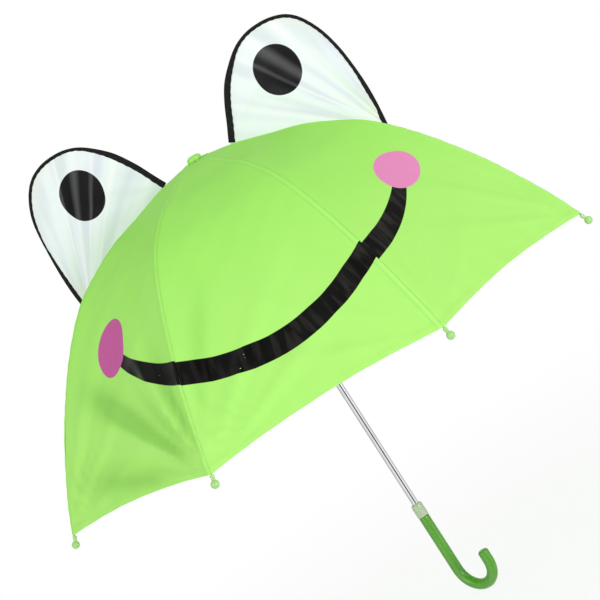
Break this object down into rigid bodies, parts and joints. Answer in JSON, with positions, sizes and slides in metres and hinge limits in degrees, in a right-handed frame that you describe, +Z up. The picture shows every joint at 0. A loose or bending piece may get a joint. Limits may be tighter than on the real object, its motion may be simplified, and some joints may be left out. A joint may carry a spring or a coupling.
{
  "type": "children's umbrella",
  "caption": "Open domed umbrella for a child, green with a frog's face, upright round eyes and a hook handle; it folds on jointed ribs and a sliding runner.",
  "frame": {"origin": "middle of the straight grip, on the shaft's axis", "axes": "+Z up the shaft to the canopy's apex; the frog's face looks along -Y; +X is to the right when its face is seen from the front"},
  "size_m": [0.6654, 0.6654, 0.6934],
  "materials": {
    "chromed_steel": "mirror chrome",
    "frame_steel": "plain plated steel",
    "spring_steel": "plain plated steel",
    "green_plastic": "gloss",
    "pale_plastic": "gloss",
    "tip_plastic": "satin",
    "runner_plastic": "satin",
    "canopy_cloth": "plain woven polyester with a slight sheen",
    "eye_cloth": "plain woven polyester"
  },
  "bodies": {
    "frame": {"shaft_tube": "chromed_steel", "handle": "green_plastic", "handle_collar": "pale_plastic", "crown_notch": "pale_plastic", "crown_ring": "frame_steel", "top_cap": "green_plastic"},
    "catch": {"catch_spring": "spring_steel"},
    "runner": {"runner": "runner_plastic"},
    "rib_arm_1": {"rib_inner_1": "frame_steel", "canopy_inner_1": "canopy_cloth", "eye_right": "eye_cloth"},
    "rib_end_1": {"rib_outer_1": "spring_steel", "rib_tip_1": "tip_plastic", "canopy_outer_1": "canopy_cloth"},
    "stretcher_arm_1": {"stretcher_1": "frame_steel"},
    "rib_arm_2": {"rib_inner_2": "frame_steel", "canopy_inner_2": "canopy_cloth"},
    "rib_end_2": {"rib_outer_2": "spring_steel", "rib_tip_2": "tip_plastic", "canopy_outer_2": "canopy_cloth"},
    "stretcher_arm_2": {"stretcher_2": "frame_steel"},
    "rib_arm_3": {"rib_inner_3": "frame_steel", "canopy_inner_3": "canopy_cloth"},
    "rib_end_3": {"rib_outer_3": "spring_steel", "rib_tip_3": "tip_plastic", "canopy_outer_3": "canopy_cloth"},
    "stretcher_arm_3": {"stretcher_3": "frame_steel"},
    "rib_arm_4": {"rib_inner_4": "frame_steel", "canopy_inner_4": "canopy_cloth", "eye_left": "eye_cloth"},
    "rib_end_4": {"rib_outer_4": "spring_steel", "rib_tip_4": "tip_plastic", "canopy_outer_4": "canopy_cloth"},
    "stretcher_arm_4": {"stretcher_4": "frame_steel"},
    "rib_arm_5": {"rib_inner_5": "frame_steel", "canopy_inner_5": "canopy_cloth"},
    "rib_end_5": {"rib_outer_5": "spring_steel", "rib_tip_5": "tip_plastic", "canopy_outer_5": "canopy_cloth"},
    "stretcher_arm_5": {"stretcher_5": "frame_steel"},
    "rib_arm_6": {"rib_inner_6": "frame_steel", "canopy_inner_6": "canopy_cloth"},
    "rib_end_6": {"rib_outer_6": "spring_steel", "rib_tip_6": "tip_plastic", "canopy_outer_6": "canopy_cloth"},
    "stretcher_arm_6": {"stretcher_6": "frame_steel"},
    "rib_arm_7": {"rib_inner_7": "frame_steel", "canopy_inner_7": "canopy_cloth"},
    "rib_end_7": {"rib_outer_7": "spring_steel", "rib_tip_7": "tip_plastic", "canopy_outer_7": "canopy_cloth"},
    "stretcher_arm_7": {"stretcher_7": "frame_steel"},
    "rib_arm_8": {"rib_inner_8": "frame_steel", "canopy_inner_8": "canopy_cloth"},
    "rib_end_8": {"rib_outer_8": "spring_steel", "rib_tip_8": "tip_plastic", "canopy_outer_8": "canopy_cloth"},
    "stretcher_arm_8": {"stretcher_8": "frame_steel"}
  },
  "joints": [
    {"name": "catch_press", "type": "slide", "parent": "frame", "child": "catch", "axis": [0, 1, 0], "range_m": [0, 0.0026], "stiffness_N_per_m": 300},
    {"name": "runner_slide", "type": "slide", "parent": "frame", "child": "runner", "axis": [0, 0, -1], "range_m": [0, 0.2628]},
    {"name": "canopy_fold", "type": "hinge", "parent": "frame", "child": "rib_arm_1", "pos_m": [0.00739, 0.00306, 0.5145], "axis": [-0.3827, 0.9239, 0], "range_deg": [0, 71], "deforming": ["canopy_inner_1"]},
    {"name": "rib_flex_1", "type": "hinge", "parent": "rib_arm_1", "child": "rib_end_1", "pos_m": [0.18866, 0.07814, 0.45421], "axis": [-0.3827, 0.9239, 0], "range_deg": [-36, 0], "deforming": ["canopy_outer_1"]},
    {"name": "stretcher_pivot_1", "type": "hinge", "parent": "rib_arm_1", "child": "stretcher_arm_1", "pos_m": [0.18254, 0.07561, 0.45302], "axis": [-0.3827, 0.9239, 0], "range_deg": [-139, 0]},
    {"name": "rib_fold_2", "type": "hinge", "parent": "frame", "child": "rib_arm_2", "pos_m": [0.00306, 0.00739, 0.5145], "axis": [-0.9239, 0.3827, 0], "range_deg": [0, 71.5], "deforming": ["canopy_inner_2"]},
    {"name": "rib_flex_2", "type": "hinge", "parent": "rib_arm_2", "child": "rib_end_2", "pos_m": [0.07814, 0.18866, 0.45421], "axis": [-0.9239, 0.3827, 0], "range_deg": [-36, 0], "deforming": ["canopy_outer_2"]},
    {"name": "stretcher_pivot_2", "type": "hinge", "parent": "rib_arm_2", "child": "stretcher_arm_2", "pos_m": [0.07561, 0.18254, 0.45302], "axis": [-0.9239, 0.3827, 0], "range_deg": [-139, 0]},
    {"name": "rib_fold_3", "type": "hinge", "parent": "frame", "child": "rib_arm_3", "pos_m": [-0.00306, 0.00739, 0.5145], "axis": [-0.9239, -0.3827, 0], "range_deg": [0, 71.5], "deforming": ["canopy_inner_3"]},
    {"name": "rib_flex_3", "type": "hinge", "parent": "rib_arm_3", "child": "rib_end_3", "pos_m": [-0.07814, 0.18866, 0.45421], "axis": [-0.9239, -0.3827, 0], "range_deg": [-36, 0], "deforming": ["canopy_outer_3"]},
    {"name": "stretcher_pivot_3", "type": "hinge", "parent": "rib_arm_3", "child": "stretcher_arm_3", "pos_m": [-0.07561, 0.18254, 0.45302], "axis": [-0.9239, -0.3827, 0], "range_deg": [-139, 0]},
    {"name": "rib_fold_4", "type": "hinge", "parent": "frame", "child": "rib_arm_4", "pos_m": [-0.00739, 0.00306, 0.5145], "axis": [-0.3827, -0.9239, 0], "range_deg": [0, 71.5], "deforming": ["canopy_inner_4"]},
    {"name": "rib_flex_4", "type": "hinge", "parent": "rib_arm_4", "child": "rib_end_4", "pos_m": [-0.18866, 0.07814, 0.45421], "axis": [-0.3827, -0.9239, 0], "range_deg": [-36, 0], "deforming": ["canopy_outer_4"]},
    {"name": "stretcher_pivot_4", "type": "hinge", "parent": "rib_arm_4", "child": "stretcher_arm_4", "pos_m": [-0.18254, 0.07561, 0.45302], "axis": [-0.3827, -0.9239, 0], "range_deg": [-139, 0]},
    {"name": "rib_fold_5", "type": "hinge", "parent": "frame", "child": "rib_arm_5", "pos_m": [-0.00739, -0.00306, 0.5145], "axis": [0.3827, -0.9239, 0], "range_deg": [0, 71.5], "deforming": ["canopy_inner_5"]},
    {"name": "rib_flex_5", "type": "hinge", "parent": "rib_arm_5", "child": "rib_end_5", "pos_m": [-0.18866, -0.07814, 0.45421], "axis": [0.3827, -0.9239, 0], "range_deg": [-36, 0], "deforming": ["canopy_outer_5"]},
    {"name": "stretcher_pivot_5", "type": "hinge", "parent": "rib_arm_5", "child": "stretcher_arm_5", "pos_m": [-0.18254, -0.07561, 0.45302], "axis": [0.3827, -0.9239, 0], "range_deg": [-139, 0]},
    {"name": "rib_fold_6", "type": "hinge", "parent": "frame", "child": "rib_arm_6", "pos_m": [-0.00306, -0.00739, 0.5145], "axis": [0.9239, -0.3827, 0], "range_deg": [0, 71.5], "deforming": ["canopy_inner_6"]},
    {"name": "rib_flex_6", "type": "hinge", "parent": "rib_arm_6", "child": "rib_end_6", "pos_m": [-0.07814, -0.18866, 0.45421], "axis": [0.9239, -0.3827, 0], "range_deg": [-36, 0], "deforming": ["canopy_outer_6"]},
    {"name": "stretcher_pivot_6", "type": "hinge", "parent": "rib_arm_6", "child": "stretcher_arm_6", "pos_m": [-0.07561, -0.18254, 0.45302], "axis": [0.9239, -0.3827, 0], "range_deg": [-139, 0]},
    {"name": "rib_fold_7", "type": "hinge", "parent": "frame", "child": "rib_arm_7", "pos_m": [0.00306, -0.00739, 0.5145], "axis": [0.9239, 0.3827, 0], "range_deg": [0, 71.5], "deforming": ["canopy_inner_7"]},
    {"name": "rib_flex_7", "type": "hinge", "parent": "rib_arm_7", "child": "rib_end_7", "pos_m": [0.07814, -0.18866, 0.45421], "axis": [0.9239, 0.3827, 0], "range_deg": [-36, 0], "deforming": ["canopy_outer_7"]},
    {"name": "stretcher_pivot_7", "type": "hinge", "parent": "rib_arm_7", "child": "stretcher_arm_7", "pos_m": [0.07561, -0.18254, 0.45302], "axis": [0.9239, 0.3827, 0], "range_deg": [-139, 0]},
    {"name": "rib_fold_8", "type": "hinge", "parent": "frame", "child": "rib_arm_8", "pos_m": [0.00739, -0.00306, 0.5145], "axis": [0.3827, 0.9239, 0], "range_deg": [0, 71.5], "deforming": ["canopy_inner_8"]},
    {"name": "rib_flex_8", "type": "hinge", "parent": "rib_arm_8", "child": "rib_end_8", "pos_m": [0.18866, -0.07814, 0.45421], "axis": [0.3827, 0.9239, 0], "range_deg": [-36, 0], "deforming": ["canopy_outer_8"]},
    {"name": "stretcher_pivot_8", "type": "hinge", "parent": "rib_arm_8", "child": "stretcher_arm_8", "pos_m": [0.18254, -0.07561, 0.45302], "axis": [0.3827, 0.9239, 0], "range_deg": [-139, 0]}
  ],
  "couplings": [
    {"joint": "rib_flex_1", "follows": "canopy_fold", "ratio": -0.5},
    {"joint": "stretcher_pivot_1", "follows": "canopy_fold", "ratio": -1.9456},
    {"joint": "rib_fold_2", "follows": "canopy_fold", "ratio": 1},
    {"joint": "rib_flex_2", "follows": "canopy_fold", "ratio": -0.5},
    {"joint": "stretcher_pivot_2", "follows": "canopy_fold", "ratio": -1.9456},
    {"joint": "rib_fold_3", "follows": "canopy_fold", "ratio": 1},
    {"joint": "rib_flex_3", "follows": "canopy_fold", "ratio": -0.5},
    {"joint": "stretcher_pivot_3", "follows": "canopy_fold", "ratio": -1.9456},
    {"joint": "rib_fold_4", "follows": "canopy_fold", "ratio": 1},
    {"joint": "rib_flex_4", "follows": "canopy_fold", "ratio": -0.5},
    {"joint": "stretcher_pivot_4", "follows": "canopy_fold", "ratio": -1.9456},
    {"joint": "rib_fold_5", "follows": "canopy_fold", "ratio": 1},
    {"joint": "rib_flex_5", "follows": "canopy_fold", "ratio": -0.5},
    {"joint": "stretcher_pivot_5", "follows": "canopy_fold", "ratio": -1.9456},
    {"joint": "rib_fold_6", "follows": "canopy_fold", "ratio": 1},
    {"joint": "rib_flex_6", "follows": "canopy_fold", "ratio": -0.5},
    {"joint": "stretcher_pivot_6", "follows": "canopy_fold", "ratio": -1.9456},
    {"joint": "rib_fold_7", "follows": "canopy_fold", "ratio": 1},
    {"joint": "rib_flex_7", "follows": "canopy_fold", "ratio": -0.5},
    {"joint": "stretcher_pivot_7", "follows": "canopy_fold", "ratio": -1.9456},
    {"joint": "rib_fold_8", "follows": "canopy_fold", "ratio": 1},
    {"joint": "rib_flex_8", "follows": "canopy_fold", "ratio": -0.5},
    {"joint": "stretcher_pivot_8", "follows": "canopy_fold", "ratio": -1.9456},
    {"joint": "runner_slide", "follows": "canopy_fold", "m_per_rad": 0.21143}
  ]
}
